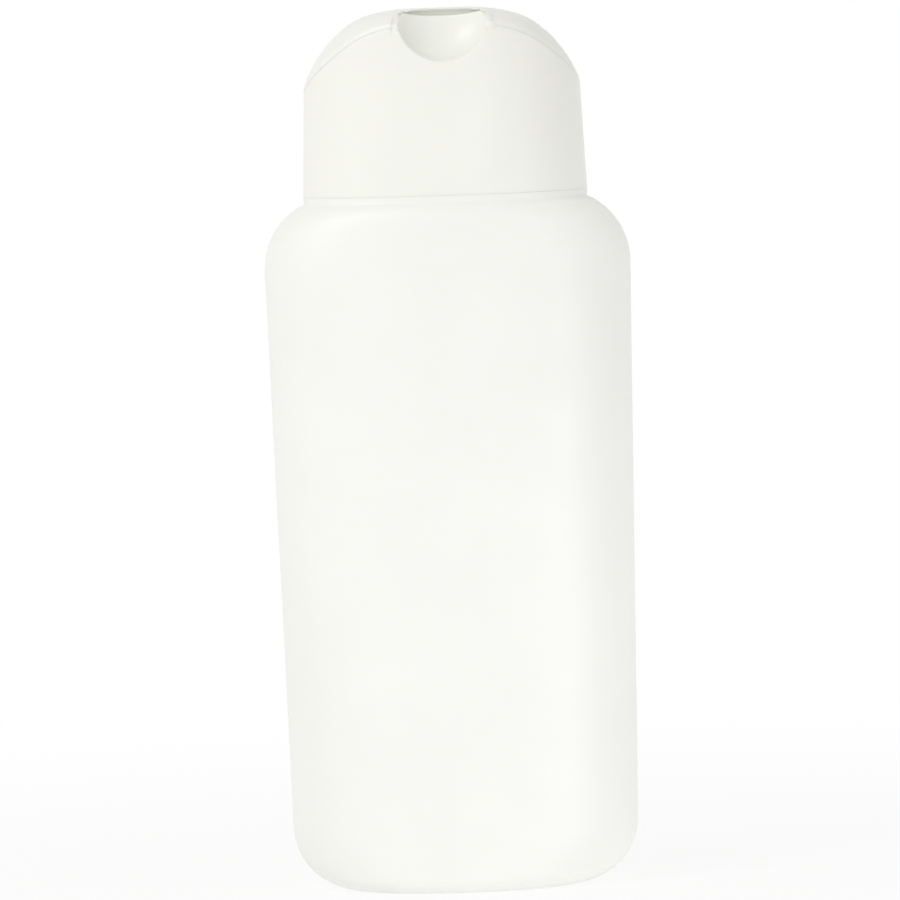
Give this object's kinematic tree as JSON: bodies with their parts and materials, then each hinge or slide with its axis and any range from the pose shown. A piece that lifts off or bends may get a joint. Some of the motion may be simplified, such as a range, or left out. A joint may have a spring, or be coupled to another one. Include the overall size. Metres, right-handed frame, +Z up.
{
  "type": "flip-top bottle",
  "caption": "Oval plastic squeeze bottle with a tall arched closure that screws on the neck, with a flip lid, a thumb notch and a plugged spout.",
  "frame": {"origin": "centre of the flat base, on the surface that the bottle stands on", "axes": "+Z up through the neck, -Y towards the front with the thumb notch, +X to the right seen from the front"},
  "size_m": [0.0708, 0.0384, 0.1699],
  "materials": {
    "bottle_plastic": "off-white polyethylene, blow-moulded, satin",
    "closure_plastic": "off-white polypropylene, injection-moulded, satin",
    "seal_foam": "white closed-cell polyethylene foam, matte"
  },
  "bodies": {
    "bottle": {"bottle_body": "bottle_plastic"},
    "seal": {"sealing_ring": "seal_foam"},
    "closure": {"closure_base": "closure_plastic", "living_hinge": "closure_plastic"},
    "lid": {"flip_lid": "closure_plastic"}
  },
  "joints": [
    {"name": "cap_rise", "type": "slide", "parent": "bottle", "child": "seal", "axis": [0, 0, 1], "range_m": [0, 0.00476]},
    {"name": "cap_unscrew", "type": "hinge", "parent": "seal", "child": "closure", "pos_m": [0, 0, 0.1348], "axis": [0, 0, 1], "range_deg": [0, 540]},
    {"name": "lid_flip", "type": "hinge", "parent": "closure", "child": "lid", "pos_m": [0, 0.01695, 0.1547], "axis": [-1, 0, 0], "range_deg": [0, 140], "deforming": ["living_hinge"]}
  ],
  "couplings": [
    {"joint": "cap_rise", "follows": "cap_unscrew", "m_per_rad": 0.0005053}
  ]
}
